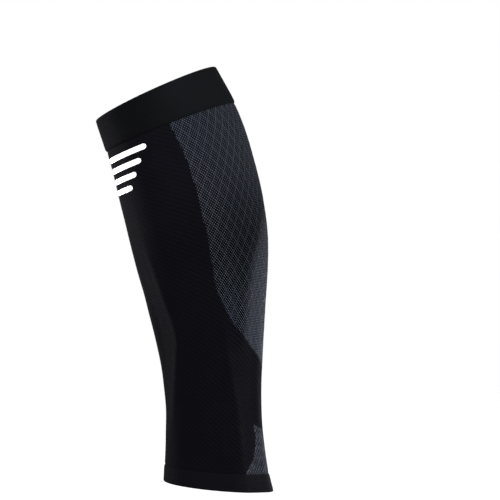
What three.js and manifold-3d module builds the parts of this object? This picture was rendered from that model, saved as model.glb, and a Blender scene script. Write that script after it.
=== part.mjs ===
// A knitted calf compression sleeve in the form that it has when it is worn on a slightly bent leg.
// It is one seamless tube with five knitted zones: a folded upper cuff, the plain leg body, the openwork
// calf panel let into its back, a small panel over the Achilles tendon, and a folded hem at the ankle.
// Millimetres, +Z up. The shin faces -Y and the calf +Y. The origin is the centre of the ankle opening.
import * as THREE from "three";
import { mergeVertices } from "three/addons/utils/BufferGeometryUtils.js";
import Module from "manifold-3d";

// Driving dimensions. The leg sizes are those of the hollow, where the knit lies on the skin.
const sleeveHeight = 329; // from the centre of the ankle opening up to the centre of the knee opening
const forwardLean = 53; // how far the knee opening's centre stands in front of the ankle opening's
const calfDepth = 115.5; // the leg at its fullest, shin to calf
const calfWidth = 104; // the leg at its fullest, side to side
const ankleDepth = 78; // the leg at its slimmest, shin to heel
const ankleWidth = 62; // the leg at its slimmest, side to side
const knitWall = 1.2; // single knit of the leg body and its two panels
const cuffWall = 2.2; // doubled knit of the upper cuff
const hemWall = 1.7; // doubled knit of the ankle hem
const cuffHeight = 28.5; // upper cuff, measured upright on the leg's axis
const hemHeight = 14.5; // ankle hem, measured the same way
const zoneGap = 0.3; // clearance between two neighbouring zones

// In every table height is a share of its zone's height, from the bottom (0) to the top (1).
// The leg's axis. forward is a share of forwardLean, and tilt is the rise of the cross-section's plane
// towards the calf, in degrees.
const legAxis = [
  { height: 0.0, forward: 0.0, tilt: -5.6 },
  { height: 0.045, forward: 0.028, tilt: -5.0 },
  { height: 0.12, forward: 0.056, tilt: -2.5 },
  { height: 0.2, forward: 0.078, tilt: 0.0 },
  { height: 0.3, forward: 0.101, tilt: 3.5 },
  { height: 0.4, forward: 0.143, tilt: 7.0 },
  { height: 0.5, forward: 0.192, tilt: 10.0 },
  { height: 0.6, forward: 0.262, tilt: 13.0 },
  { height: 0.7, forward: 0.381, tilt: 15.5 },
  { height: 0.8, forward: 0.53, tilt: 18.0 },
  { height: 0.9, forward: 0.72, tilt: 20.5 },
  { height: 1.0, forward: 0.99, tilt: 24.3 },
];

// The leg's fullness, from the ankle's size (0) to the calf's (1). egg moves the widest place towards the
// calf (+) or the shin (-).
const legFullness = [
  { height: 0.0, depth: 0.31, width: 0.19, egg: -0.1 },
  { height: 0.045, depth: 0.19, width: 0.095, egg: -0.12 },
  { height: 0.12, depth: 0.06, width: 0.0, egg: -0.14 },
  { height: 0.2, depth: 0.0, width: 0.0, egg: -0.12 },
  { height: 0.3, depth: 0.105, width: 0.145, egg: -0.05 },
  { height: 0.4, depth: 0.335, width: 0.38, egg: 0.02 },
  { height: 0.5, depth: 0.62, width: 0.64, egg: 0.06 },
  { height: 0.6, depth: 0.89, width: 0.87, egg: 0.08 },
  { height: 0.7, depth: 0.995, width: 0.985, egg: 0.08 },
  { height: 0.8, depth: 1.0, width: 1.0, egg: 0.06 },
  { height: 0.9, depth: 0.925, width: 0.93, egg: 0.04 },
  { height: 1.0, depth: 0.755, width: 0.835, egg: 0.02 },
];

// The flats beside the shin bone and beside the Achilles tendon. The edges are the angles of the ridges
// where the flats end, in degrees from the front and from the back. Flatness runs from 0, round, to 1, flat.
const legFlats = [
  { height: 0.0, shinEdge: 26, shinFlatness: 0.0, heelEdge: 58, heelFlatness: 0.55 },
  { height: 0.12, shinEdge: 30, shinFlatness: 0.3, heelEdge: 58, heelFlatness: 0.8 },
  { height: 0.2, shinEdge: 35, shinFlatness: 0.6, heelEdge: 60, heelFlatness: 0.8 },
  { height: 0.3, shinEdge: 45, shinFlatness: 0.9, heelEdge: 68.5, heelFlatness: 0.65 },
  { height: 0.4, shinEdge: 54, shinFlatness: 1.0, heelEdge: 75, heelFlatness: 0.35 },
  { height: 0.5, shinEdge: 47, shinFlatness: 0.9, heelEdge: 84, heelFlatness: 0.1 },
  { height: 0.6, shinEdge: 41, shinFlatness: 0.7, heelEdge: 86, heelFlatness: 0.0 },
  { height: 0.7, shinEdge: 38, shinFlatness: 0.45, heelEdge: 86, heelFlatness: 0.0 },
  { height: 0.85, shinEdge: 36, shinFlatness: 0.1, heelEdge: 86, heelFlatness: 0.0 },
  { height: 1.0, shinEdge: 36, shinFlatness: 0.0, heelEdge: 86, heelFlatness: 0.0 },
];

// The outlines of the two panels, as half-angles in degrees from the middle of the back. Their height is
// a share of the leg body's, between the hem and the cuff.
const calfPanelOutline = [
  { height: 0.287, halfAngle: 0.6 },
  { height: 0.31, halfAngle: 17 },
  { height: 0.34, halfAngle: 31 },
  { height: 0.375, halfAngle: 46.5 },
  { height: 0.41, halfAngle: 59.5 },
  { height: 0.45, halfAngle: 69.5 },
  { height: 0.49, halfAngle: 77 },
  { height: 0.54, halfAngle: 81.5 },
  { height: 0.64, halfAngle: 83.5 },
  { height: 0.8, halfAngle: 85 },
  { height: 0.91, halfAngle: 87 },
  { height: 0.955, halfAngle: 89 },
  { height: 1.0, halfAngle: 91 },
];
const achillesPanelOutline = [
  { height: 0.0, halfAngle: 55 },
  { height: 0.015, halfAngle: 49 },
  { height: 0.035, halfAngle: 40.5 },
  { height: 0.06, halfAngle: 33.5 },
  { height: 0.1, halfAngle: 28.5 },
  { height: 0.135, halfAngle: 30.5 },
];

// Fineness of the facets
const halfRingSteps = { heelNose: 2, heelFlat: 7, side: 9, shinFlat: 6, shinNose: 1 };
const bodyRows = 26;
const cuffRows = 3;
const hemRows = 2;
const foldSteps = 4;
const stepsPerOutlineRow = 2;
const panelFanSteps = 16;

// The rounded places at the middle of the back and of the shin, where the flats begin, in degrees
const heelNoseAngle = 16;
const shinNoseAngle = 10;
const flatBlendShare = 0.35; // share of a flat over which it grows out of the rounded place
const normalStep = 0.5; // degrees to either side, for the outward direction at a point
const cutterReach = 3; // how far a panel's cutter stands out of the wall's faces and open ends
const weldTolerance = 1e-4;

const radians = THREE.MathUtils.degToRad;
const lerp = THREE.MathUtils.lerp;

const wasm = await Module();
wasm.setup();

// The value of one column of a table at a height, on a smooth curve through the rows.
function columnAt(rows, column, height) {
  const last = rows.length - 1;
  let i = 0;
  while (i < last - 1 && height > rows[i + 1].height) i++;
  const slope = (a, b) => (rows[b][column] - rows[a][column]) / (rows[b].height - rows[a].height);
  const span = rows[i + 1].height - rows[i].height;
  const share = (height - rows[i].height) / span;
  const startSlope = slope(Math.max(i - 1, 0), i + 1) * span;
  const endSlope = slope(i, Math.min(i + 2, last)) * span;
  const s2 = share * share;
  const s3 = s2 * share;
  return (
    (2 * s3 - 3 * s2 + 1) * rows[i][column] +
    (s3 - 2 * s2 + share) * startSlope +
    (3 * s2 - 2 * s3) * rows[i + 1][column] +
    (s3 - s2) * endSlope
  );
}

// The leg's cross-section at a height, with its lengths in millimetres.
function legSection(height) {
  const size = (column, ankle, calf) => lerp(ankle, calf, columnAt(legFullness, column, height));
  const flatness = (column) => THREE.MathUtils.clamp(columnAt(legFlats, column, height), 0, 1);
  const forward = columnAt(legAxis, "forward", height) * forwardLean;
  return {
    centre: new THREE.Vector3(0, -forward, height * sleeveHeight),
    tilt: radians(columnAt(legAxis, "tilt", height)),
    halfDepth: size("depth", ankleDepth, calfDepth) / 2,
    halfWidth: size("width", ankleWidth, calfWidth) / 2,
    egg: columnAt(legFullness, "egg", height),
    shinEdge: 180 - columnAt(legFlats, "shinEdge", height),
    shinFlatness: flatness("shinFlatness"),
    heelEdge: columnAt(legFlats, "heelEdge", height),
    heelFlatness: flatness("heelFlatness"),
  };
}

// A point of the plain egg-shaped outline, x across the leg and y towards the calf. Its angle is measured
// from the middle of the back.
function eggPoint(section, angle) {
  const a = radians(angle);
  return new THREE.Vector2(
    section.halfWidth * Math.sin(a) * (1 + section.egg * Math.cos(a)),
    section.halfDepth * Math.cos(a),
  );
}

// The same point pulled onto a flat that runs from a rounded place to a ridge.
function flatPoint(section, angle, roundedAngle, ridgeAngle, flatness) {
  const share = (angle - roundedAngle) / (ridgeAngle - roundedAngle);
  const chord = eggPoint(section, roundedAngle).lerp(eggPoint(section, ridgeAngle), share);
  const pull = flatness * THREE.MathUtils.smoothstep(share, 0, flatBlendShare);
  return eggPoint(section, angle).lerp(chord, pull);
}

// The point of the leg's skin at an angle from the middle of the calf, in the section's own plane.
function skinPoint(section, angle) {
  const side = Math.sign(angle) || 1;
  const turned = Math.abs(angle);
  const shinNose = 180 - shinNoseAngle;
  let point;
  if (turned > heelNoseAngle && turned < section.heelEdge) {
    point = flatPoint(section, turned, heelNoseAngle, section.heelEdge, section.heelFlatness);
  } else if (turned > section.shinEdge && turned < shinNose) {
    point = flatPoint(section, turned, shinNose, section.shinEdge, section.shinFlatness);
  } else {
    point = eggPoint(section, turned);
  }
  return point.setX(point.x * side);
}

// The angles of a ring's corners. Two of them on each side follow the ridges.
function ringAngles(section) {
  const stops = [
    { angle: 0 },
    { angle: heelNoseAngle, steps: halfRingSteps.heelNose },
    { angle: section.heelEdge, steps: halfRingSteps.heelFlat },
    { angle: section.shinEdge, steps: halfRingSteps.side },
    { angle: 180 - shinNoseAngle, steps: halfRingSteps.shinFlat },
    { angle: 180, steps: halfRingSteps.shinNose },
  ];
  const half = [0];
  for (let i = 1; i < stops.length; i++) {
    for (let step = 1; step <= stops[i].steps; step++) {
      half.push(lerp(stops[i - 1].angle, stops[i].angle, step / stops[i].steps));
    }
  }
  const mirrored = half.slice(1, -1).map((angle) => -angle);
  return [...half, ...mirrored.reverse()];
}

// A point of a section's plane, placed in the part.
function placed(section, point) {
  return new THREE.Vector3(point.x, point.y, 0)
    .applyAxisAngle(new THREE.Vector3(1, 0, 0), section.tilt)
    .add(section.centre);
}

// The point at an angle that lies a given distance outside the skin, placed in the part.
function wallPoint(section, angle, offset) {
  const point = skinPoint(section, angle);
  const along = skinPoint(section, angle - normalStep).sub(skinPoint(section, angle + normalStep));
  const outward = new THREE.Vector2(along.y, -along.x).normalize();
  return placed(section, point.addScaledVector(outward, offset));
}

// The closed ring of such points around the leg at a height.
function ringAt(height, offset) {
  const section = legSection(height);
  return ringAngles(section).map((angle) => wallPoint(section, angle, offset));
}

// A closed geometry from rings of equal length. The last ring joins the first, or both ends are capped by
// strips between the two halves of the ring.
function loftRings(rings, joined) {
  const count = rings[0].length;
  const positions = rings.flat().flatMap((point) => point.toArray());
  const triangles = [];
  const pairs = joined ? rings.length : rings.length - 1;
  for (let i = 0; i < pairs; i++) {
    const lower = i * count;
    const upper = ((i + 1) % rings.length) * count;
    for (let j = 0; j < count; j++) {
      const k = (j + 1) % count;
      triangles.push(lower + j, upper + k, lower + k, lower + j, upper + j, upper + k);
    }
  }
  if (!joined) {
    const top = (rings.length - 1) * count;
    for (let j = 0; j < count / 2 - 1; j++) {
      const across = count - 1 - j;
      triangles.push(j, j + 1, across, j + 1, across - 1, across);
      triangles.push(top + j, top + across, top + j + 1, top + j + 1, top + across, top + across - 1);
    }
  }
  return new THREE.BufferGeometry()
    .setAttribute("position", new THREE.Float32BufferAttribute(positions, 3))
    .setIndex(triangles);
}

// A solid for joining and cutting, with its faces turned outwards.
function solidFrom(geometry) {
  const welded = mergeVertices(geometry, weldTolerance);
  const triVerts = new Uint32Array(welded.index.array);
  const vertProperties = welded.attributes.position.array;
  const made = new wasm.Manifold(new wasm.Mesh({ numProp: 3, vertProperties, triVerts }));
  if (made.volume() > 0) return made;
  return new wasm.Manifold(
    new wasm.Mesh({ numProp: 3, vertProperties, triVerts: triVerts.reverse() }),
  );
}

function geometryFrom(solid) {
  const mesh = solid.getMesh();
  const geometry = new THREE.BufferGeometry()
    .setAttribute("position", new THREE.BufferAttribute(mesh.vertProperties, mesh.numProp))
    .setIndex(new THREE.BufferAttribute(mesh.triVerts, 1));
  geometry.computeVertexNormals();
  return geometry;
}

// A band of knit around the leg. profile is the closed outline of its wall, as heights and offsets from
// the skin.
function knitBand(profile) {
  return solidFrom(loftRings(profile.map(({ height, offset }) => ringAt(height, offset)), true));
}

// Heights from low to high, as shares of sleeveHeight.
function heightsBetween(low, high, rows) {
  return Array.from({ length: rows + 1 }, (_, i) => lerp(low, high, i / rows));
}

// Zone borders, as shares of sleeveHeight
const halfGap = zoneGap / 2 / sleeveHeight;
const hemTop = hemHeight / sleeveHeight;
const cuffBottom = 1 - cuffHeight / sleeveHeight;
const bodyHeight = (share) => lerp(hemTop, cuffBottom, share);

// The plain wall of the leg body, before the panels are cut out of it.
function bodyWall() {
  const heights = heightsBetween(hemTop + halfGap, cuffBottom - halfGap, bodyRows);
  const outside = heights.map((height) => ({ height, offset: knitWall }));
  const inside = heights.map((height) => ({ height, offset: 0 })).reverse();
  return knitBand([...outside, ...inside]);
}

// A doubled band whose wall is folded round at its free edge.
function foldedBand(openHeight, foldHeight, wall, rows) {
  const away = Math.sign(foldHeight - openHeight);
  const radius = wall / 2;
  const foldStart = foldHeight - (away * radius) / sleeveHeight;
  const heights = heightsBetween(openHeight, foldStart, rows);
  const outside = heights.map((height) => ({ height, offset: wall }));
  const fold = [];
  for (let step = 1; step < foldSteps; step++) {
    const turn = (Math.PI * step) / foldSteps;
    fold.push({
      height: foldStart + (away * radius * Math.sin(turn)) / sleeveHeight,
      offset: radius + radius * Math.cos(turn),
    });
  }
  const inside = heights.map((height) => ({ height, offset: 0 })).reverse();
  return knitBand([...outside, ...fold, ...inside]);
}

// A curved slab with a panel's outline that stands out of both faces of the wall, widened all round by grow.
function panelCutter(outline, grow) {
  const rings = [];
  const last = outline.length - 1;
  for (let i = 0; i <= last * stepsPerOutlineRow; i++) {
    const row = Math.min(Math.floor(i / stepsPerOutlineRow), last - 1);
    const step = i / stepsPerOutlineRow - row;
    const share = lerp(outline[row].height, outline[row + 1].height, step);
    let height = bodyHeight(share);
    if (i === 0) height -= (share > 0 ? grow : cutterReach) / sleeveHeight;
    if (i === last * stepsPerOutlineRow) height += (share < 1 ? grow : cutterReach) / sleeveHeight;
    const section = legSection(height);
    const growAngle = THREE.MathUtils.radToDeg(grow / section.halfWidth);
    const halfAngle = columnAt(outline, "halfAngle", share) + growAngle;
    const arc = (offset) =>
      Array.from({ length: panelFanSteps + 1 }, (_, j) =>
        wallPoint(section, lerp(-halfAngle, halfAngle, j / panelFanSteps), offset),
      );
    rings.push([...arc(knitWall + cutterReach), ...arc(-cutterReach).reverse()]);
  }
  return solidFrom(loftRings(rings, false));
}

function zoneMesh(name, solid, color, roughness) {
  const material = new THREE.MeshStandardMaterial({ color, roughness, metalness: 0 });
  const mesh = new THREE.Mesh(geometryFrom(solid), material);
  mesh.name = name;
  return mesh;
}

const wall = bodyWall();
const calfPanel = wall.intersect(panelCutter(calfPanelOutline, 0));
const achillesPanel = wall.intersect(panelCutter(achillesPanelOutline, 0));
const legBody = wall
  .subtract(panelCutter(calfPanelOutline, zoneGap))
  .subtract(panelCutter(achillesPanelOutline, zoneGap));
const upperCuff = foldedBand(cuffBottom + halfGap, 1, cuffWall, cuffRows);
const ankleHem = foldedBand(hemTop - halfGap, 0, hemWall, hemRows);

const sleeve = new THREE.Group();
sleeve.add(
  zoneMesh("upper_cuff", upperCuff, 0x17181b, 0.85),
  zoneMesh("leg_body", legBody, 0x0d0d10, 0.8),
  zoneMesh("calf_panel", calfPanel, 0x34363d, 0.85),
  zoneMesh("achilles_panel", achillesPanel, 0x4a4d55, 0.9),
  zoneMesh("ankle_hem", ankleHem, 0x141417, 0.85),
);

export default sleeve;
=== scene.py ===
# The visual model of a knitted calf compression sleeve in the shape that it has when worn.
# Every stitch has its own place in one grid around the leg, one wale by one course. The knitted zones
# are cut from that grid, so their borders run in steps of stitches, as on a knitting machine.
# The sleeve's lengths are millimetres, which wall_points turns into metres. The studio's are metres.
import math

import bpy
import numpy as np
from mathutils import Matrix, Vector


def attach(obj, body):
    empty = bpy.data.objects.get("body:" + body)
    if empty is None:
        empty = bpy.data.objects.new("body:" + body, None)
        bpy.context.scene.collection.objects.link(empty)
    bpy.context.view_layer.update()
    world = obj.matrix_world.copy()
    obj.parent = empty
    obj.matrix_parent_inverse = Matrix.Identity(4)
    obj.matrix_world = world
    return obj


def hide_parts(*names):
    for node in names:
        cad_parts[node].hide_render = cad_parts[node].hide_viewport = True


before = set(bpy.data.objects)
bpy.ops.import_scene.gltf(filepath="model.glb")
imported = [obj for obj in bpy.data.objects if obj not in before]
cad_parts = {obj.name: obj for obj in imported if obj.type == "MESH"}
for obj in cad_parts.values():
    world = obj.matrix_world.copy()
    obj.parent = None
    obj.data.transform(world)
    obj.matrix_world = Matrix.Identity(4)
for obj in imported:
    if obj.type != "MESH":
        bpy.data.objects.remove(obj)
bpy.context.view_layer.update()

MM = 0.001

# The camera stands level, at the side of the sleeve.
CAMERA_PLACE = (1.554, 0.02654, 0.1979)
CAMERA_SENSOR = 36.0
CAMERA_LENS = 133.2

# The leg and its zones, as in the part
SLEEVE_HEIGHT = 329.0
FORWARD_LEAN = 53.0
CALF_DEPTH, CALF_WIDTH = 115.5, 104.0
ANKLE_DEPTH, ANKLE_WIDTH = 78.0, 62.0
KNIT_WALL, CUFF_WALL, HEM_WALL = 1.2, 2.2, 1.7
CUFF_HEIGHT, HEM_HEIGHT = 28.5, 14.5
HEM_TOP = HEM_HEIGHT / SLEEVE_HEIGHT
CUFF_BOTTOM = 1 - CUFF_HEIGHT / SLEEVE_HEIGHT
HEEL_NOSE, SHIN_NOSE = 16.0, 10.0  # degrees from the middle of the heel and of the shin that stay round
FLAT_BLEND = 0.35  # share of each flat over which the round wall turns into it
SOFTENING = 5  # passes that soften the edges of the flats, with a column for each wale
UNEVENNESS = 0.16  # how far the worn knit waves in and out
AXIS_SAMPLES = 800  # places between which the length of the leg's axis is measured

# Stitches: the wales run up the leg and the courses around it.
WALES = 308
COURSES = 216
BACK_WALE = WALES / 2
WALE_DEGREES = 360.0 / WALES
COURSE_MM = 1.35
NET_WALES, NET_COURSES = 7.0, 10.5  # a diamond of the net over the calf
TWILL_WALES, TWILL_COURSES = 5.5, 3.0  # a repeat of the slanted lines in the plain knit
BODY_ZONE, CALF_ZONE, ACHILLES_ZONE = 0, 1, 2

# How far the stitches stand out of the wall, and how it sinks where it meets the cuff and the hem
DOT_RELIEF, NET_RELIEF = 0.11, 0.08
WALE_RELIEF, TWILL_RELIEF = 0.04, 0.035
PATCH_RELIEF = 0.09
EDGE_SINK, EDGE_REACH = 0.35, 1.4

# The doubled bands at the cuff and the hem, with their rows of faces outside and inside
CUFF_ROWS, CUFF_RIB = (26, 10), 0.05
HEM_ROWS, HEM_RIB = (16, 6), 0.03
BAND_SINK, BAND_RISE = 0.25, 0.9  # how far under the leg body's face a band starts, and its rise's length
SEAM_PLACE, SEAM_WIDTH, SEAM_DEPTH = 2.6, 0.6, 0.06  # the fine groove beside that border
RIB_START, RIB_END = 2.0, 3.0  # lengths over which the ribs fade at the border and at the fold
FOLD_STEPS = 8
FOLD_STEP = 0.39  # length of a step round the fold, as a share of the fold's radius

# The print: bars of graded length, which stand for the sleeve's graded pressure
BAR_WIDTH = 4.4
BAR_PITCH = 9.4
BAR_LENGTHS = (55.0, 47.0, 39.0, 31.0)
BAR_TOP_HEIGHT = 0.885  # share of the sleeve's height
BAR_FRONT_ANGLE = 171.0  # degrees from the middle of the back
BAR_STEPS, BAR_ROWS = 44, 6  # faces along a bar, and across it
PRINT_RISE, PRINT_SINK = 0.22, 0.12  # how far a bar stands out of the knit, and reaches into it
PRINT_GIRTH = 345.0  # round the leg at the print
RING_COLUMNS = 2880  # places round the leg between which a bar's corners are found

# The studio's lights aim at the sleeve's middle, and its floor is a plain white disc below.
LIGHT_AIM_Y, LIGHT_AIM_HEIGHT = -0.01, 0.18
FLOOR_HEIGHT = -0.11
FLOOR_RADIUS = 2.6
FLOOR_SIDES = 96


def table(columns, rows):
    """A table's columns by name."""
    return dict(zip(columns.split(), np.array(rows, float).T))


# The leg from the ankle up. Heights are shares of the sleeve's height, forward is a share of the lean,
# depth and width go from the ankle's at 0 to the calf's at 1, and tilts and edges are degrees.
LEG_AXIS = table(
    "height forward tilt",
    [
        (0.0, 0.0, -5.6),
        (0.045, 0.028, -5.0),
        (0.12, 0.056, -2.5),
        (0.2, 0.078, 0.0),
        (0.3, 0.101, 3.5),
        (0.4, 0.143, 7.0),
        (0.5, 0.192, 10.0),
        (0.6, 0.262, 13.0),
        (0.7, 0.381, 15.5),
        (0.8, 0.53, 18.0),
        (0.9, 0.72, 20.5),
        (1.0, 0.99, 24.3),
    ],
)
LEG_FULLNESS = table(
    "height depth width egg",
    [
        (0.0, 0.31, 0.19, -0.1),
        (0.045, 0.19, 0.095, -0.12),
        (0.12, 0.06, 0.0, -0.14),
        (0.2, 0.0, 0.0, -0.12),
        (0.3, 0.105, 0.145, -0.05),
        (0.4, 0.335, 0.38, 0.02),
        (0.5, 0.62, 0.64, 0.06),
        (0.6, 0.89, 0.87, 0.08),
        (0.7, 0.995, 0.985, 0.08),
        (0.8, 1.0, 1.0, 0.06),
        (0.9, 0.925, 0.93, 0.04),
        (1.0, 0.755, 0.835, 0.02),
    ],
)
LEG_FLATS = table(
    "height shin_edge shin_flatness heel_edge heel_flatness",
    [
        (0.0, 26, 0.0, 58, 0.55),
        (0.12, 30, 0.3, 58, 0.8),
        (0.2, 35, 0.6, 60, 0.8),
        (0.3, 45, 0.9, 68.5, 0.65),
        (0.4, 54, 1.0, 75, 0.35),
        (0.5, 47, 0.9, 84, 0.1),
        (0.6, 41, 0.7, 86, 0.0),
        (0.7, 38, 0.45, 86, 0.0),
        (0.85, 36, 0.1, 86, 0.0),
        (1.0, 36, 0.0, 86, 0.0),
    ],
)
# Half of each panel's width, in degrees from the middle of the back, at shares of the leg body's height
CALF_PANEL = table(
    "height half_angle",
    [
        (0.287, 0.6),
        (0.31, 17),
        (0.34, 31),
        (0.375, 46.5),
        (0.41, 59.5),
        (0.45, 69.5),
        (0.49, 77),
        (0.54, 81.5),
        (0.64, 83.5),
        (0.8, 85),
        (0.91, 87),
        (0.955, 89),
        (1.0, 91),
    ],
)
ACHILLES_PANEL = table(
    "height half_angle",
    [(0.0, 55), (0.015, 49), (0.035, 40.5), (0.06, 33.5), (0.1, 28.5), (0.135, 30.5)],
)
CALF_POINT = 0.285  # share of the leg body's height at the calf panel's lowest stitches
SIDE_INSET = 1.8  # degrees by which the calf panel's stitches stay inside its sides
SIDE_INSET_START, SIDE_INSET_FULL = 60, 75  # degrees from the back between which the inset grows
ACHILLES_TOP = 0.135  # share of the leg body's height at its upper corners
ACHILLES_DIP = 0.016  # how much lower its top edge is at the middle of the back
ACHILLES_DIP_ANGLE = 30  # degrees from there to where the dip ends

# Soft ridges in the knit, as heights and angles from the middle of the back
RIDGES = {
    "shin_bone": {
        "rise": 0.5,
        "reach": 4.0,
        "points": [(0.68, 144), (0.578, 137.2), (0.5225, 134.8), (0.445, 129.4), (0.375, 124.5)]
        + [(0.3325, 131.8), (0.274, 139), (0.207, 144.8), (0.12, 150)],
    },
    "calf_muscle": {
        "rise": 2.2,
        "reach": 7.5,
        "points": [(0.72, 6), (0.66, 20), (0.626, 31.5), (0.552, 43)]
        + [(0.48, 47), (0.407, 49), (0.34, 50)],
    },
    "heel_cord": {
        "rise": 0.5,
        "reach": 3.5,
        "points": [(0.43, 78), (0.3725, 72.4), (0.303, 68.6)]
        + [(0.2025, 59.5), (0.12, 57.8), (0.05, 56)],
    },
    "front_tendon": {
        "rise": 1.3,
        "reach": 3.6,
        "points": [(0.30, 110), (0.281, 108.6), (0.212, 104), (0.118, 97), (0.097, 91)],
    },
    "back_tendon": {
        "rise": 1.0,
        "reach": 3.0,
        "points": [(0.20, 80), (0.182, 80.9), (0.091, 82.1), (0.07, 83)],
    },
}
# A ridge fades in and out between these heights, measured from its lowest and its highest point.
RIDGE_LOW_FADE = (-0.02, 0.06)
RIDGE_HIGH_FADE = (0.01, -0.12)


def along(rows, name, heights):
    """One column of a table at some heights, on a smooth curve through the rows."""
    x, y = rows["height"], rows[name]
    last = len(x) - 1
    i = np.clip(np.searchsorted(x, heights, side="left") - 1, 0, last - 1)
    before, after = np.maximum(i - 1, 0), np.minimum(i + 2, last)
    span = x[i + 1] - x[i]
    share = (heights - x[i]) / span
    start = (y[i + 1] - y[before]) / (x[i + 1] - x[before]) * span
    end = (y[after] - y[i]) / (x[after] - x[i]) * span
    s2, s3 = share**2, share**3
    return (
        (2 * s3 - 3 * s2 + 1) * y[i]
        + (s3 - 2 * s2 + share) * start
        + (3 * s2 - 2 * s3) * y[i + 1]
        + (s3 - s2) * end
    )


def smooth_step(value, low, high):
    """A smooth rise from 0 to 1 while value goes from low to high."""
    share = np.clip((value - low) / (high - low), 0, 1)
    return share * share * (3 - 2 * share)


def leg_section(heights):
    """The leg's cross-sections at some heights, one row each."""
    depth = along(LEG_FULLNESS, "depth", heights)
    width = along(LEG_FULLNESS, "width", heights)
    section = {
        "centre_y": -along(LEG_AXIS, "forward", heights) * FORWARD_LEAN,
        "centre_z": heights * SLEEVE_HEIGHT,
        "tilt": np.radians(along(LEG_AXIS, "tilt", heights)),
        "half_depth": (ANKLE_DEPTH + (CALF_DEPTH - ANKLE_DEPTH) * depth) / 2,
        "half_width": (ANKLE_WIDTH + (CALF_WIDTH - ANKLE_WIDTH) * width) / 2,
        "egg": along(LEG_FULLNESS, "egg", heights),
        "shin_edge": 180 - along(LEG_FLATS, "shin_edge", heights),
        "shin_flatness": np.clip(along(LEG_FLATS, "shin_flatness", heights), 0, 1),
        "heel_edge": along(LEG_FLATS, "heel_edge", heights),
        "heel_flatness": np.clip(along(LEG_FLATS, "heel_flatness", heights), 0, 1),
    }
    return {name: value[:, None] for name, value in section.items()}


def egg_point(section, angles):
    """Points on the plain rounded section, which is wider towards one end."""
    a = np.radians(angles)
    x = section["half_width"] * np.sin(a) * (1 + section["egg"] * np.cos(a))
    return np.stack([x, section["half_depth"] * np.cos(a) + 0 * x], -1)


def flattened(section, point, angles, rounded, ridge, flatness):
    """The points between a rounded place and a ridge, pulled onto the straight line between the two."""
    share = (angles - rounded) / (ridge - rounded)
    start = egg_point(section, rounded + 0 * ridge)
    end = egg_point(section, ridge)
    chord = start + (end - start) * share[..., None]
    pull = flatness * smooth_step(share, 0, FLAT_BLEND)
    pulled = point + (chord - point) * pull[..., None]
    return np.where(((share > 0) & (share < 1))[..., None], pulled, point)


def leg_rings(heights, columns):
    """Points on the skin round the leg, in the planes of its sections, and the directions out of it."""
    section = leg_section(heights)
    angles = column_angles(columns)[None, :] + 0 * heights[:, None]
    turned = np.abs(angles)
    point = egg_point(section, turned)
    heel = (section["heel_edge"], section["heel_flatness"])
    shin = (section["shin_edge"], section["shin_flatness"])
    point = flattened(section, point, turned, HEEL_NOSE, *heel)
    point = flattened(section, point, turned, 180 - SHIN_NOSE, *shin)
    point[..., 0] *= np.where(angles < 0, -1, 1)
    for _ in range(round(SOFTENING * (columns / WALES) ** 2)):
        point = (np.roll(point, 1, 1) + 2 * point + np.roll(point, -1, 1)) / 4
    forward = np.roll(point, -1, 1) - np.roll(point, 1, 1)
    outward = np.stack([forward[..., 1], -forward[..., 0]], -1)
    outward /= np.linalg.norm(outward, axis=-1, keepdims=True)
    outward *= np.sign((outward * point).sum(-1, keepdims=True).mean())
    return section, point, outward


def column_angles(columns):
    """Angles from the middle of the back, from one side of the shin round to the other."""
    return -180 + 360 * np.arange(columns) / columns


def wall_points(heights, offsets, columns):
    """Points around the leg, offsets outside the skin, in the row frame and in metres."""
    section, point, outward = leg_rings(heights, columns)
    angles = column_angles(columns)[None, :]
    point = point + outward * (offsets + folds(heights[:, None], angles))[..., None]
    x = point[..., 0]
    y = section["centre_y"] + point[..., 1] * np.cos(section["tilt"])
    z = section["centre_z"] + point[..., 1] * np.sin(section["tilt"])
    return np.stack([x, y, z], -1) * MM


def folds(heights, angles):
    """How far the knit stands off the plain leg: its ridges, and a worn sleeve's faint unevenness."""
    rise = 0.0
    for ridge in RIDGES.values():
        points = ridge["points"]
        nearest = np.full_like(heights * angles, np.inf)
        for start, end in zip(points, points[1:]):
            nearest = np.minimum(nearest, distance_to(heights, np.abs(angles), start, end))
        low = min(height for height, _ in points)
        high = max(height for height, _ in points)
        fade = smooth_step(heights, low + RIDGE_LOW_FADE[0], low + RIDGE_LOW_FADE[1])
        fade = fade * smooth_step(heights, high + RIDGE_HIGH_FADE[0], high + RIDGE_HIGH_FADE[1])
        rise = rise + ridge["rise"] * fade * np.exp(-((nearest / ridge["reach"]) ** 2))
    a = np.radians(angles)
    uneven = np.sin(3 * a + 21 * heights + 0.7) * np.sin(2 * a - 17 * heights + 1.9)
    uneven = uneven + 0.6 * np.sin(5 * a - 33 * heights) * np.sin(4 * a + 27 * heights + 0.4)
    return rise + UNEVENNESS * uneven


def distance_to(heights, angles, start, end):
    """Distances in millimetres from places on the leg to the line between two of its places."""
    middle = leg_section(np.array([(start[0] + end[0]) / 2]))
    per_degree = math.radians((middle["half_depth"] + middle["half_width"]).item() / 2)
    across, up = (angles - start[1]) * per_degree, (heights - start[0]) * SLEEVE_HEIGHT
    way = ((end[1] - start[1]) * per_degree, (end[0] - start[0]) * SLEEVE_HEIGHT)
    share = np.clip((across * way[0] + up * way[1]) / (way[0] ** 2 + way[1] ** 2), 0, 1)
    return np.hypot(across - share * way[0], up - share * way[1])


def course_heights(low, high, count):
    """Heights of evenly spaced courses, measured along the leg's axis."""
    fine = np.linspace(low, high, AXIS_SAMPLES)
    forward = along(LEG_AXIS, "forward", fine) * FORWARD_LEAN
    steps = np.hypot(np.diff(forward), np.diff(fine * SLEEVE_HEIGHT))
    length = np.concatenate([[0], np.cumsum(steps)])
    return np.interp(np.linspace(0, length[-1], count + 1), length, fine)


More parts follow.
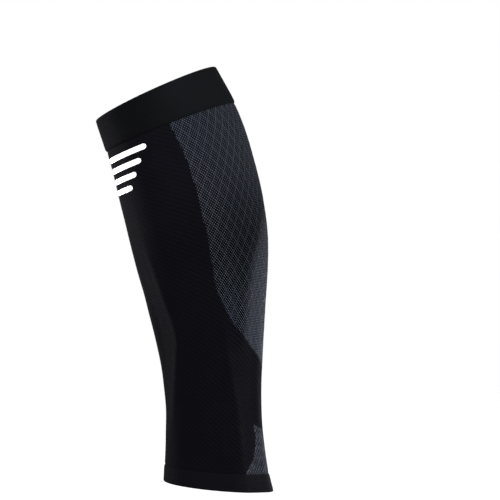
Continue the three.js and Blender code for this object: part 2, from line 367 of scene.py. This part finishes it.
def make_object(name, vertices, faces, uvs, material, sharp=50, border=None):
    """A mesh whose UV layer holds the wale and the course at each corner of its faces."""
    mesh = bpy.data.meshes.new(name)
    mesh.from_pydata(vertices.tolist(), [], faces)
    layer = mesh.uv_layers.new(name="stitches")
    layer.data.foreach_set("uv", np.array(uvs, np.float32).ravel())
    if border is not None:
        values = mesh.attributes.new("border", "FLOAT", "POINT").data
        values.foreach_set("value", border.astype(np.float32))
    mesh.polygons.foreach_set("use_smooth", [True] * len(mesh.polygons))
    mesh.set_sharp_from_angle(angle=math.radians(sharp))
    mesh.materials.append(material)
    mesh.validate()
    piece = bpy.data.objects.new(name, mesh)
    bpy.context.scene.collection.objects.link(piece)
    return piece


def stitch_zones():
    """Which zone each stitch belongs to, course by course from the hem up."""
    heights = course_heights(HEM_TOP, CUFF_BOTTOM, COURSES)
    share = ((heights[1:] + heights[:-1]) / 2 - HEM_TOP) / (CUFF_BOTTOM - HEM_TOP)
    angle = np.abs(column_angles(WALES) + WALE_DEGREES / 2)
    share, angle = share[:, None], angle[None, :]
    inset = SIDE_INSET * smooth_step(angle, SIDE_INSET_START, SIDE_INSET_FULL)
    calf_edge = along(CALF_PANEL, "half_angle", np.clip(share, CALF_PANEL["height"][0], 1))
    calf = (share > CALF_POINT) & (angle < calf_edge - inset)
    heel_edge = along(ACHILLES_PANEL, "half_angle", np.clip(share, 0, ACHILLES_TOP))
    dip = ACHILLES_DIP * (1 - np.clip(angle / ACHILLES_DIP_ANGLE, 0, 1) ** 2)
    heel = (share < ACHILLES_TOP - dip) & (angle < heel_edge)
    return np.select([heel, calf], [ACHILLES_ZONE, CALF_ZONE], BODY_ZONE)


def stitch_relief(zones):
    """How far each stitch stands out of the wall, for the corners of all stitches."""
    v = np.arange(COURSES + 1)[:, None]
    u = np.arange(WALES)[None, :]
    dot = np.where((u + v) % 2 == 0, 1.0, -1.0)
    slants = [(u - BACK_WALE) / NET_WALES + way * v / NET_COURSES for way in (1, -1)]
    net = np.maximum(*(np.abs(slant % 1 - 0.5) * 2 for slant in slants))
    openwork = DOT_RELIEF * dot + NET_RELIEF * smooth_step(net, 0.75, 1)
    plain = WALE_RELIEF * np.where(u % 2 == 0, 1, -1)
    plain = plain + TWILL_RELIEF * np.cos(2 * math.pi * (u / TWILL_WALES - v / TWILL_COURSES))
    patch = PATCH_RELIEF * np.where((u + 2 * v) % 4 < 2, 1, -1)
    zone = zones[np.minimum(v, COURSES - 1), u]
    relief = np.select([zone == CALF_ZONE, zone == ACHILLES_ZONE], [openwork, patch], plain)
    from_edge = np.minimum(v, COURSES - v) * COURSE_MM
    return relief - EDGE_SINK * np.exp(-((from_edge / EDGE_REACH) ** 2))


def next_to_border(zones):
    """1 at the stitches' corners on the zones' side borders, and half as much one wale away."""
    rows = zones[np.minimum(np.arange(COURSES + 1), COURSES - 1)]
    changes = (rows != np.roll(rows, 1, 1)).astype(float)
    return np.maximum(changes, 0.5 * np.maximum(np.roll(changes, 1, 1), np.roll(changes, -1, 1)))


def knit_zones(zones, looks):
    """One closed piece for each zone, from its stitches' outside and inside and the walls at its borders.

    looks has a name and a material for each zone.
    """
    heights = course_heights(HEM_TOP, CUFF_BOTTOM, COURSES)
    relief = stitch_relief(zones)
    outer = wall_points(heights, KNIT_WALL + relief, WALES).reshape(-1, 3)
    inner = wall_points(heights, 0 * relief, WALES).reshape(-1, 3)
    points = np.concatenate([outer, inner])
    border = np.concatenate([next_to_border(zones).ravel(), np.zeros(len(inner))])

    def outside(corner):
        return corner[0] * WALES + corner[1] % WALES

    def inside(corner):
        return len(outer) + outside(corner)

    pieces = []
    for number, (name, material) in looks.items():
        faces, uvs = [], []
        for r, c in zip(*np.nonzero(zones == number)):
            corners = ((r, c), (r + 1, c), (r + 1, c + 1), (r, c + 1))
            faces.append([outside(corner) for corner in corners])
            faces.append([inside(corner) for corner in reversed(corners)])
            uvs += [(wale, course) for course, wale in (*corners, *reversed(corners))]
            neighbours = ((r, c - 1), (r + 1, c), (r, c + 1), (r - 1, c))
            for (row, column), start, end in zip(neighbours, corners, corners[1:] + corners[:1]):
                if 0 <= row < COURSES and zones[row, column % WALES] == number:
                    continue
                faces.append([outside(end), outside(start), inside(start), inside(end)])
                uvs += [(wale, course) for course, wale in (end, start, start, end)]
        used, compact = np.unique(faces, return_inverse=True)
        compact = compact.reshape(-1, 4).tolist()
        pieces.append(make_object(name, points[used], compact, uvs, material, border=border[used]))
    return pieces


def band_rows(open_height, fold_height, wall, outside_count, inside_count):
    """The rows of a band's wall, from the leg body's border round the fold at the free edge and back.

    Each is a height, an offset out of the skin, a course and how strong the ribs are there.
    """
    away = 1 if fold_height > open_height else -1
    radius = wall / 2
    fold_start = fold_height - away * radius / SLEEVE_HEIGHT
    rows = []
    for height in np.linspace(open_height, fold_start, outside_count + 1):
        from_border = abs(height - open_height) * SLEEVE_HEIGHT
        from_fold = abs(height - fold_start) * SLEEVE_HEIGHT
        sunk = math.exp(-((from_border / BAND_RISE) ** 2))
        seam = math.exp(-(((from_border - SEAM_PLACE) / SEAM_WIDTH) ** 2))
        offset = wall - (wall - KNIT_WALL + BAND_SINK) * sunk - SEAM_DEPTH * seam
        ribs = min(from_border / RIB_START, from_fold / RIB_END, 1)
        rows.append((height, offset, from_border / COURSE_MM, ribs))
    edge = rows[-1][2]
    for step in range(1, FOLD_STEPS):
        turn = math.pi * step / FOLD_STEPS
        height = fold_start + away * radius * math.sin(turn) / SLEEVE_HEIGHT
        course = edge + step * radius * FOLD_STEP / COURSE_MM
        rows.append((height, radius + radius * math.cos(turn), course, 0.0))
    edge = rows[-1][2]
    for height in np.linspace(fold_start, open_height, inside_count + 1):
        course = edge + abs(height - fold_start) * SLEEVE_HEIGHT / COURSE_MM
        rows.append((height, 0.0, course, 0.0))
    return rows if away > 0 else rows[::-1]


def band(name, rows, rib, material):
    """A doubled band with two columns to a wale, from the rows that run round its whole closed wall."""
    heights, offsets, courses, strength = np.array(rows).T
    columns = 2 * WALES
    wales = np.arange(columns + 1) * WALES / columns
    ribs = rib * np.cos(math.pi * wales[:-1])[None, :] * strength[:, None]
    points = wall_points(heights, offsets[:, None] + ribs, columns)
    faces, uvs = [], []
    for i in range(len(rows)):
        k = (i + 1) % len(rows)
        for j in range(columns):
            n = (j + 1) % columns
            faces.append((i * columns + j, k * columns + j, k * columns + n, i * columns + n))
            corners = ((j, i), (j, k), (j + 1, k), (j + 1, i))
            uvs += [(wales[column], courses[row]) for column, row in corners]
    return make_object(name, points.reshape(-1, 3), faces, uvs, material)


def bar_points(length, middle):
    """The corners of one bar's top and of its underside, row by row."""
    radius = BAR_WIDTH / 2
    degrees_per_mm = 360 / PRINT_GIRTH
    heights = middle + np.linspace(-radius, radius, BAR_ROWS + 1) / SLEEVE_HEIGHT
    points = []
    for offset in (KNIT_WALL + PRINT_RISE, KNIT_WALL - PRINT_SINK):
        rings = wall_points(heights, np.full((BAR_ROWS + 1, RING_COLUMNS), offset), RING_COLUMNS)
        for r, ring in enumerate(rings):
            off = (r / BAR_ROWS * 2 - 1) * radius
            inset = radius - math.sqrt(max(radius**2 - off**2, 0))
            for s in range(BAR_STEPS + 1):
                along_bar = inset + (length - 2 * inset) * s / BAR_STEPS
                angle = BAR_FRONT_ANGLE - along_bar * degrees_per_mm
                column = (angle + 180) / 360 * RING_COLUMNS
                k, part = int(column) % RING_COLUMNS, column - int(column)
                points.append(ring[k] * (1 - part) + ring[(k + 1) % RING_COLUMNS] * part)
    return points


def bar_quads():
    """The faces of one bar, each as four corners with a layer (0 the top), a row and a step."""
    quads = []
    for r in range(BAR_ROWS):
        for s in range(BAR_STEPS):
            quads.append([(0, r, s), (0, r, s + 1), (0, r + 1, s + 1), (0, r + 1, s)])
            quads.append([(1, r, s), (1, r + 1, s), (1, r + 1, s + 1), (1, r, s + 1)])
    for r in range(BAR_ROWS):
        front, back = ([(0, r, s), (1, r, s), (1, r + 1, s), (0, r + 1, s)] for s in (0, BAR_STEPS))
        quads += [front[::-1], back]
    for s in range(BAR_STEPS):
        low, high = ([(0, r, s), (1, r, s), (1, r, s + 1), (0, r, s + 1)] for r in (0, BAR_ROWS))
        quads += [low, high[::-1]]
    return quads


def print_bars(material):
    """Thin raised bars on the outside of the wall, from the shin round towards the calf."""
    vertices, faces, uvs = [], [], []
    row_length = BAR_STEPS + 1
    layer_length = (BAR_ROWS + 1) * row_length
    quads = bar_quads()
    for number, length in enumerate(BAR_LENGTHS):
        start = len(vertices)
        vertices += bar_points(length, BAR_TOP_HEIGHT - number * BAR_PITCH / SLEEVE_HEIGHT)
        for quad in quads:
            faces.append([start + layer * layer_length + r * row_length + s for layer, r, s in quad])
            uvs += [(s * length / BAR_STEPS, r * BAR_WIDTH / BAR_ROWS / COURSE_MM) for _, r, s in quad]
    return make_object("front_print", np.array(vertices), faces, uvs, material, sharp=40)


class Knit:
    """A knit material, built from small steps that read the stitches' own coordinates."""

    def __init__(self, name, roughness, specular, sheen=0.0, sheen_tint=(1, 1, 1)):
        self.material = bpy.data.materials.new(name)
        self.material.use_nodes = True
        self.tree = self.material.node_tree
        self.shader = self.tree.nodes["Principled BSDF"]
        self.shader.inputs["Roughness"].default_value = roughness
        self.shader.inputs["Specular IOR Level"].default_value = specular
        self.shader.inputs["Sheen Weight"].default_value = sheen
        self.shader.inputs["Sheen Roughness"].default_value = 0.45
        self.shader.inputs["Sheen Tint"].default_value = (*sheen_tint, 1)
        uv = self.add("ShaderNodeUVMap")
        uv.uv_map = "stitches"
        split = self.add("ShaderNodeSeparateXYZ")
        self.link(uv.outputs["UV"], split.inputs[0])
        self.wale, self.course = split.outputs["X"], split.outputs["Y"]
        self.place = self.add("ShaderNodeTexCoord").outputs["Object"]

    def add(self, kind):
        """A new node."""
        return self.tree.nodes.new(kind)

    def link(self, source, target):
        self.tree.links.new(source, target)

    def put(self, value, socket):
        """Give a socket a value, or link it to another one."""
        if isinstance(value, bpy.types.NodeSocket):
            self.link(value, socket)
        else:
            socket.default_value = value

    def math(self, operation, *values):
        node = self.add("ShaderNodeMath")
        node.operation = operation
        for value, socket in zip(values, node.inputs):
            self.put(value, socket)
        return node.outputs[0]

    def step(self, value, low, high, start=0.0, end=1.0):
        """A smooth rise from start to end while value goes from low to high."""
        node = self.add("ShaderNodeMapRange")
        node.interpolation_type = "SMOOTHSTEP"
        for given, socket in zip((value, low, high, start, end), node.inputs):
            self.put(given, socket)
        return node.outputs[0]

    def mix(self, share, first, second):
        """first where share is 0, second where it is 1."""
        node = self.add("ShaderNodeMix")
        node.data_type = "RGBA"
        self.put(share, node.inputs["Factor"])
        for value, socket in ((first, node.inputs[6]), (second, node.inputs[7])):
            self.put((*value, 1) if isinstance(value, tuple) else value, socket)
        return node.outputs[2]

    def noise(self, scale, detail):
        """Unevenness from 0 to 1 that sits still on the sleeve."""
        node = self.add("ShaderNodeTexNoise")
        node.inputs["Scale"].default_value = scale
        node.inputs["Detail"].default_value = detail
        self.link(self.place, node.inputs["Vector"])
        return node.outputs["Fac"]

    def waves(self, value, period, shift=0.0):
        """A wave from -1 to 1 with its crest where value is a whole number of periods."""
        turned = self.math("MULTIPLY_ADD", value, 2 * math.pi / period, shift)
        return self.math("COSINE", turned)

    def lines(self, value, period, width):
        """Thin lines, 1 on each whole number of periods, with their width as a share of the period."""
        folded = self.math("PINGPONG", value, period / 2)
        return self.step(folded, 0.0, period * width, 1.0, 0.0)

    def loops(self):
        """The relief of the knitted loops, each a V of two yarns that lean together."""
        across = self.math("ABSOLUTE", self.waves(self.wale, 2.0, math.pi / 2))
        lean = self.math("MULTIPLY_ADD", across, 0.45, self.course)
        return self.math("MULTIPLY_ADD", self.waves(lean, 1.0), 0.5, 0.5)

    def border(self):
        """1 at the stitches next to another zone, as the mesh says, and 0 away from them."""
        node = self.add("ShaderNodeAttribute")
        node.attribute_name = "border"
        return node.outputs["Fac"]

    def from_back(self):
        """Degrees from the middle of the back, on either side."""
        wales = self.math("ABSOLUTE", self.math("SUBTRACT", self.wale, BACK_WALE))
        return self.math("MULTIPLY", wales, WALE_DEGREES)

    def finish(self, colour, height, depth):
        """The material, with its colour and a relief of height times depth metres."""
        self.put(colour, self.shader.inputs["Base Color"])
        bump = self.add("ShaderNodeBump")
        bump.inputs["Strength"].default_value = 0.8
        bump.inputs["Distance"].default_value = depth
        self.put(height, bump.inputs["Height"])
        self.link(bump.outputs[0], self.shader.inputs["Normal"])
        return self.material


def body_material():
    """Dense black knit with faint slanted lines, which show most at the back, and painted light that
    makes it lighter towards the top.
    """
    knit = Knit("body_knit", 0.82, 0.005, sheen=0.0008, sheen_tint=(0.8, 0.85, 1.0))
    dark, light = (0.0010, 0.0009, 0.0014), (0.0036, 0.0034, 0.0050)
    slant = knit.math("MULTIPLY", knit.course, -TWILL_WALES / TWILL_COURSES)
    twill = knit.waves(knit.math("ADD", knit.wale, slant), TWILL_WALES)
    low = knit.step(knit.course, 110, 50, 0.12, 0.17)
    behind = knit.step(knit.from_back(), 72, 58, 0, 0.3)
    shade = knit.math("MULTIPLY_ADD", twill, knit.math("ADD", low, behind), 0.54)
    blotch = knit.math("SUBTRACT", knit.noise(38, 3), 0.5)
    shade = knit.math("MULTIPLY_ADD", blotch, 0.4, shade)
    loops = knit.loops()
    shade = knit.math("MULTIPLY_ADD", loops, 0.15, shade)
    # Painted light: the knit is lighter towards the top, standing in for the light from above on the
    # upper leg.
    shade = knit.math("ADD", shade, knit.step(knit.course, 130, 200, 0, 0.2))
    height = knit.math("MULTIPLY_ADD", knit.noise(900, 2), 0.5, loops)
    return knit.finish(knit.mix(shade, dark, light), height, 0.00025)


def panel_material():
    """Grey dots and a diamond net on black, with a pointed oval of close grey ribs at the back, painted
    shade half way up and painted light at the top.
    """
    knit = Knit("panel_knit", 0.8, 0.008, sheen=0.003, sheen_tint=(0.85, 0.9, 1.0))
    black, grey, shaded_midway_grey = (0.0003, 0.0003, 0.0005), (0.122, 0.142, 0.202), (0.099, 0.114, 0.142)
    warm_grey, lit_top_grey, oval_grey = (0.166, 0.154, 0.186), (0.200, 0.221, 0.285), (0.160, 0.179, 0.237)
    angle = knit.from_back()

    # Dots on every other stitch, clearest low down and brightest at the sides and the borders
    dots = knit.math("MULTIPLY", knit.waves(knit.wale, 2.0), knit.waves(knit.course, 2.0))
    dots = knit.step(dots, 0.5, 1.0)
    openness = knit.step(knit.course, 205, 115, 0.7, 1.0)
    between = knit.math("MULTIPLY_ADD", openness, -0.5, 0.5)
    bright = knit.math("MULTIPLY_ADD", knit.border(), 1.6, knit.step(angle, 50, 80, 1.75, 3.7))
    bright = knit.math("ADD", bright, knit.step(knit.course, 135, 100, 0, 1.7))
    dots = knit.math("MULTIPLY_ADD", dots, knit.math("MULTIPLY", openness, bright), between)

    # Ribs round the leg take their place in the oval.
    inside = knit.math("SUBTRACT", knit.step(knit.course, 168, 118, 0, 46), angle)
    ribs = knit.math("MULTIPLY_ADD", knit.waves(knit.course, 1.5), 0.24, 0.45)
    tooth = knit.mix(knit.step(inside, -10, 14, 0, 0.7), dots, ribs)

    # The net's lines cross the whole panel.
    across = knit.math("SUBTRACT", knit.wale, BACK_WALE)
    slant = knit.math("MULTIPLY", knit.course, NET_WALES / NET_COURSES)
    slants = (knit.math(way, across, slant) for way in ("ADD", "SUBTRACT"))
    net = knit.math("MAXIMUM", *(knit.lines(slanted, NET_WALES, 0.047) for slanted in slants))
    tooth = knit.math("MULTIPLY_ADD", net, 0.65, tooth)

    # The yarn is darker half way up as painted shade, warmer in places, lighter at the top as painted
    # light, and lighter in the oval.
    # Painted shade half way up the panel.
    painted_midway_shade = knit.math("MULTIPLY", knit.step(knit.course, 180, 135), knit.step(knit.course, 85, 125))
    yarn = knit.mix(painted_midway_shade, grey, shaded_midway_grey)
    yarn = knit.mix(knit.step(knit.noise(22, 2), 0.45, 0.62, 0, 0.35), yarn, warm_grey)
    # Painted light at the top of the panel, towards the back.
    top = knit.math("MULTIPLY", knit.step(knit.course, 150, 185), knit.step(angle, 75, 40, 0, 0.75))
    yarn = knit.mix(top, yarn, lit_top_grey)
    yarn = knit.mix(knit.step(inside, -6, 26), yarn, oval_grey)

    loops = knit.loops()
    tooth = knit.math("MULTIPLY", tooth, knit.math("MULTIPLY_ADD", loops, 0.106, 0.156))
    height = knit.math("MULTIPLY_ADD", loops, 0.3, tooth)
    height = knit.math("MULTIPLY_ADD", knit.noise(1100, 2), 0.35, height)
    return knit.finish(knit.mix(tooth, black, yarn), height, 0.0003)


def patch_material():
    """Grey knit in crossing slants, lighter at its borders."""
    knit = Knit("patch_knit", 0.85, 0.008, sheen=0.003, sheen_tint=(0.85, 0.9, 1.0))
    black, grey, light_grey = (0.003, 0.0033, 0.0045), (0.028, 0.030, 0.040), (0.060, 0.063, 0.078)
    period, slope = 4.0, 4 / 3  # wales, and wales for each course
    slants = (knit.math("MULTIPLY_ADD", knit.course, way * slope, knit.wale) for way in (-1, 1))
    twill = knit.math("ADD", *(knit.waves(slant, period) for slant in slants))
    twill = knit.math("MULTIPLY_ADD", knit.math("SUBTRACT", knit.noise(350, 1), 0.5), 3.5, twill)
    twill = knit.step(twill, -1.0, 1.4)
    loops = knit.loops()
    shade = knit.math("MULTIPLY", twill, knit.math("MULTIPLY_ADD", loops, 0.5, 0.7))
    yarn = knit.mix(knit.border(), grey, light_grey)
    height = knit.math("MULTIPLY_ADD", loops, 0.6, twill)
    return knit.finish(knit.mix(shade, black, yarn), height, 0.0003)


def band_material(name, dark, light, rib_shade, painted_back_light):
    """Black knit with fine ribs up the leg, and painted light that makes it a little lighter towards the
    back.
    """
    knit = Knit(name, 0.85, 0.006, sheen=0.001, sheen_tint=(0.9, 0.95, 1.0))
    ribs = knit.math("MULTIPLY_ADD", knit.waves(knit.wale, 2.0), 0.5, 0.5)
    loops = knit.loops()
    shade = knit.math("MULTIPLY_ADD", ribs, rib_shade, knit.math("MULTIPLY", knit.noise(30, 3), 0.5))
    shade = knit.math("MULTIPLY_ADD", loops, 0.2, shade)
    # Painted light: lighter towards the back, where the light falls on the band.
    shade = knit.math("ADD", shade, knit.step(knit.from_back(), 115, 60, 0, painted_back_light))
    height = knit.math("MULTIPLY_ADD", ribs, 0.8, loops)
    return knit.finish(knit.mix(shade, dark, light), height, 0.00022)


def print_material():
    """White print with a fine crackle, a little greyer where it is worn."""
    knit = Knit("print_white", 0.42, 0.5)
    white, crackled, worn = (0.90, 0.91, 0.92), (0.70, 0.71, 0.73), (0.55, 0.56, 0.58)
    crackle = knit.noise(600, 3)
    wear = knit.step(knit.noise(160, 2), 0.56, 0.7)
    colour = knit.mix(knit.math("MULTIPLY", crackle, 0.25), white, crackled)
    colour = knit.mix(knit.math("MULTIPLY", wear, 0.3), colour, worn)
    return knit.finish(colour, knit.math("ADD", crackle, knit.loops()), 0.00006)


def set_camera():
    scene = bpy.context.scene
    data = bpy.data.cameras.new("camera")
    data.sensor_width = CAMERA_SENSOR
    data.lens = CAMERA_LENS
    camera = bpy.data.objects.new("camera", data)
    camera.location = CAMERA_PLACE
    camera.rotation_euler = (math.pi / 2, 0, math.pi / 2)
    scene.collection.objects.link(camera)
    scene.camera = camera
    scene.view_settings.view_transform = "Standard"


def softbox(name, place, size, power, aim_height=LIGHT_AIM_HEIGHT, spread=180):
    """A soft light that shines at the sleeve. Its spread is in degrees."""
    light = bpy.data.lights.new(name, "AREA")
    light.shape = "RECTANGLE"
    light.size, light.size_y = size
    light.energy = power
    light.spread = math.radians(spread)
    lamp = bpy.data.objects.new(name, light)
    lamp.location = place
    lamp.visible_camera = False
    aim = Vector((0.0, LIGHT_AIM_Y, aim_height)) - Vector(place)
    lamp.rotation_euler = aim.to_track_quat("-Z", "Y").to_euler()
    bpy.context.scene.collection.objects.link(lamp)


def set_lights():
    """A white surround, a large softbox above, and small ones that graze the shin, calf and heel."""
    world = bpy.data.worlds.new("studio")
    world.use_nodes = True
    sky = world.node_tree.nodes["Background"]
    sky.inputs["Color"].default_value = (1.0, 1.0, 1.0, 1)
    sky.inputs["Strength"].default_value = 1.0
    bpy.context.scene.world = world
    softbox("overhead", (0.7, 0.1, 0.95), (0.8, 0.8), 14)
    softbox("shin_side", (-0.68, -0.95, 0.14), (0.35, 0.35), 1.05, aim_height=0.21, spread=25)
    softbox("calf_side", (-0.32, 0.34, -0.06), (0.25, 0.2), 4)
    softbox("heel_side", (-0.25, 0.72, 0.0), (0.25, 0.25), 0.45, aim_height=0.05, spread=25)


def lay_floor():
    mesh = bpy.data.meshes.new("floor")
    turns = np.linspace(0, 2 * math.pi, FLOOR_SIDES, endpoint=False)
    rim = [(FLOOR_RADIUS * math.cos(t), FLOOR_RADIUS * math.sin(t), FLOOR_HEIGHT) for t in turns]
    mesh.from_pydata(rim, [], [tuple(range(FLOOR_SIDES))])
    floor = bpy.data.objects.new("floor", mesh)
    bpy.context.scene.collection.objects.link(floor)
    paint = bpy.data.materials.new("floor_white")
    paint.use_nodes = True
    shader = paint.node_tree.nodes["Principled BSDF"]
    shader.inputs["Base Color"].default_value = (0.98, 0.98, 0.98, 1)
    shader.inputs["Roughness"].default_value = 0.9
    mesh.materials.append(paint)


set_camera()
set_lights()
lay_floor()

looks = {
    BODY_ZONE: ("body_knit_tube", body_material()),
    CALF_ZONE: ("calf_openwork", panel_material()),
    ACHILLES_ZONE: ("achilles_patch", patch_material()),
}
leg, calf, heel = knit_zones(stitch_zones(), looks)
# For the cuff and the hem, the last two numbers given to band_material are the ribs' shade and the
# painted light towards the back.
cuff_dark, cuff_light = (0.0013, 0.0012, 0.0017), (0.0048, 0.0051, 0.0060)
cuff_material = band_material("cuff_knit", cuff_dark, cuff_light, 0.22, 0.4)
cuff = band("cuff_welt", band_rows(CUFF_BOTTOM, 1.0, CUFF_WALL, *CUFF_ROWS), CUFF_RIB, cuff_material)
hem_dark, hem_light = (0.0014, 0.0013, 0.0019), (0.0050, 0.0048, 0.0064)
hem_material = band_material("hem_knit", hem_dark, hem_light, 0.2, 0.1)
hem = band("hem_welt", band_rows(HEM_TOP, 0.0, HEM_WALL, *HEM_ROWS), HEM_RIB, hem_material)
mark = print_bars(print_material())

# Each piece with its node, its slot, its flat size in metres and, where it tapers, its flat area
dressed = (
    (leg, "leg_body", "body_knit", (0.285, 0.285), 0.0450),
    (calf, "calf_panel", "panel_knit", (0.140, 0.210), 0.0248),
    (heel, "achilles_panel", "patch_knit", (0.057, 0.038), 0.0014),
    (cuff, "upper_cuff", "cuff_knit", (0.270, 0.031), None),
    (hem, "ankle_hem", "hem_knit", (0.195, 0.0155), None),
)
for piece, node, slot, flat, area in dressed:
    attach(piece, "root")
    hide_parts(node)
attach(mark, "root")
